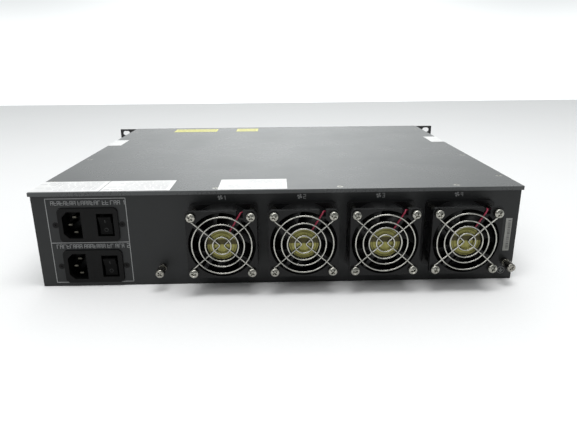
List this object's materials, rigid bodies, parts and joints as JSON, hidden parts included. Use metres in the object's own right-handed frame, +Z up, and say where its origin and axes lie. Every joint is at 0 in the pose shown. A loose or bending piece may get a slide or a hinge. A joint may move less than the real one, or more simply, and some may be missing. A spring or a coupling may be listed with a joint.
{
  "type": "rack-mount uninterruptible power supply",
  "caption": "Two-unit rack chassis power supply: flat charcoal cover, dark rear panel with round wire-guarded fans, switched mains inlets and captive thumbscrews.",
  "frame": {"origin": "centre of the outline on the plane the case rests on", "axes": "+X across the rack to the right as seen from the front, +Y from the front panel to the rear panel, +Z up"},
  "size_m": [0.4826, 0.4072, 0.0889],
  "materials": {
    "case_paint": "satin charcoal powder coat",
    "cover_paint": "satin charcoal powder coat",
    "ear_paint": "satin black powder coat",
    "zinc_screw": "bright zinc plate",
    "black_screw": "black oxide",
    "fan_plastic": "moulded black",
    "rotor_plastic": "moulded black",
    "guard_wire": "bright nickel plate",
    "windings": "enamelled copper",
    "hub_label": "olive gold foil label",
    "red_lead": "crimson sleeve",
    "inlet_plastic": "moulded black",
    "rocker_plastic": "gloss black",
    "contact_plate": "nickel-plated brass",
    "thumb_metal": "nickel plate",
    "spring_steel": "spring steel",
    "white_label": "white film label",
    "yellow_label": "yellow film label",
    "grey_label": "grey film label",
    "display_glass": "tinted window",
    "display_board": "display circuit board",
    "button_metal": "satin silver cap",
    "led_lens": "diffused green lens",
    "terminal_plastic": "moulded black",
    "terminal_brass": "tinned brass",
    "circuit_board": "green circuit board",
    "battery_case": "moulded dark grey",
    "bare_steel": "zinc-plated sheet",
    "heatsink": "extruded aluminium",
    "transformer_core": "ferrite and tape",
    "capacitor_sleeve": "shrink sleeve",
    "harness": "silicone-insulated wire"
  },
  "bodies": {
    "chassis": {"base_tray": "case_paint", "rear_panel": "case_paint", "front_panel": "case_paint", "top_cover": "cover_paint", "rack_ear_left": "ear_paint", "rack_ear_right": "ear_paint", "cover_screws": "zinc_screw", "ear_screws": "zinc_screw", "fan_1_frame": "fan_plastic", "fan_2_frame": "fan_plastic", "fan_3_frame": "fan_plastic", "fan_4_frame": "fan_plastic", "fan_1_guard": "guard_wire", "fan_2_guard": "guard_wire", "fan_3_guard": "guard_wire", "fan_4_guard": "guard_wire", "fan_stators": "windings", "fan_hub_labels": "hub_label", "fan_leads": "red_lead", "fan_screws": "zinc_screw", "fan_nuts": "zinc_screw", "inlet_1_socket": "inlet_plastic", "inlet_2_socket": "inlet_plastic", "inlet_contacts": "contact_plate", "inlet_screws": "black_screw", "thumbscrew_ferrules": "thumb_metal", "cover_labels": "white_label", "yellow_labels": "yellow_label", "seal_labels": "white_label", "strip_label": "grey_label", "display_module": "display_board", "display_window": "display_glass", "status_leds": "led_lens", "output_terminal": "terminal_plastic", "output_terminal_screws": "terminal_brass", "control_board": "circuit_board", "batteries": "battery_case", "battery_tray": "bare_steel", "battery_strap": "bare_steel", "power_board": "circuit_board", "board_standoffs": "terminal_brass", "heatsinks": "heatsink", "transformer": "transformer_core", "bulk_capacitors": "capacitor_sleeve", "emi_filters": "bare_steel", "wiring_harness": "harness"},
    "fan_1_rotor": {"fan_1_rotor": "rotor_plastic"},
    "fan_2_rotor": {"fan_2_rotor": "rotor_plastic"},
    "fan_3_rotor": {"fan_3_rotor": "rotor_plastic"},
    "fan_4_rotor": {"fan_4_rotor": "rotor_plastic"},
    "inlet_1_rocker": {"inlet_1_rocker": "rocker_plastic"},
    "inlet_2_rocker": {"inlet_2_rocker": "rocker_plastic"},
    "thumbscrew_left_clip": {"thumbscrew_left_clip": "spring_steel"},
    "thumbscrew_right_clip": {"thumbscrew_right_clip": "spring_steel"},
    "thumbscrew_left": {"thumbscrew_left": "thumb_metal"},
    "thumbscrew_right": {"thumbscrew_right": "thumb_metal"},
    "power_button": {"power_button": "button_metal"},
    "menu_button": {"menu_button": "button_metal"},
    "mute_button": {"mute_button": "button_metal"}
  },
  "joints": [
    {"name": "fan_1_spin", "type": "hinge", "parent": "chassis", "child": "fan_1_rotor", "pos_m": [0.0482, 0.1844, 0.0469], "axis": [0, 1, 0], "continuous": true},
    {"name": "fan_2_spin", "type": "hinge", "parent": "chassis", "child": "fan_2_rotor", "pos_m": [-0.0213, 0.1844, 0.0469], "axis": [0, 1, 0], "continuous": true},
    {"name": "fan_3_spin", "type": "hinge", "parent": "chassis", "child": "fan_3_rotor", "pos_m": [-0.0908, 0.1844, 0.0469], "axis": [0, 1, 0], "continuous": true},
    {"name": "fan_4_spin", "type": "hinge", "parent": "chassis", "child": "fan_4_rotor", "pos_m": [-0.1603, 0.1844, 0.0469], "axis": [0, 1, 0], "continuous": true},
    {"name": "inlet_1_switch", "type": "hinge", "parent": "chassis", "child": "inlet_1_rocker", "pos_m": [0.1524, 0.1719, 0.0586], "axis": [1, 0, 0], "range_deg": [0, 24]},
    {"name": "inlet_2_switch", "type": "hinge", "parent": "chassis", "child": "inlet_2_rocker", "pos_m": [0.1524, 0.1719, 0.0194], "axis": [1, 0, 0], "range_deg": [0, 24]},
    {"name": "thumbscrew_left_travel", "type": "slide", "parent": "chassis", "child": "thumbscrew_left_clip", "axis": [0, 1, 0], "range_m": [0, 0.0028]},
    {"name": "thumbscrew_left_turn", "type": "hinge", "parent": "thumbscrew_left_clip", "child": "thumbscrew_left", "pos_m": [0.105, 0.1744, 0.0175], "axis": [0, 1, 0], "range_deg": [0, 1440]},
    {"name": "thumbscrew_right_travel", "type": "slide", "parent": "chassis", "child": "thumbscrew_right_clip", "axis": [0, 1, 0], "range_m": [0, 0.0028]},
    {"name": "thumbscrew_right_turn", "type": "hinge", "parent": "thumbscrew_right_clip", "child": "thumbscrew_right", "pos_m": [-0.207, 0.1744, 0.0175], "axis": [0, 1, 0], "range_deg": [0, 1440]},
    {"name": "power_press", "type": "slide", "parent": "chassis", "child": "power_button", "axis": [0, 1, 0], "range_m": [0, 0.0015], "stiffness_N_per_m": 300, "springref_m": -0.001},
    {"name": "menu_press", "type": "slide", "parent": "chassis", "child": "menu_button", "axis": [0, 1, 0], "range_m": [0, 0.0015], "stiffness_N_per_m": 300, "springref_m": -0.001},
    {"name": "mute_press", "type": "slide", "parent": "chassis", "child": "mute_button", "axis": [0, 1, 0], "range_m": [0, 0.0015], "stiffness_N_per_m": 300, "springref_m": -0.001}
  ],
  "couplings": [
    {"joint": "thumbscrew_left_travel", "follows": "thumbscrew_left_turn", "m_per_rad": 0.00011141},
    {"joint": "thumbscrew_right_travel", "follows": "thumbscrew_right_turn", "m_per_rad": 0.00011141}
  ]
}
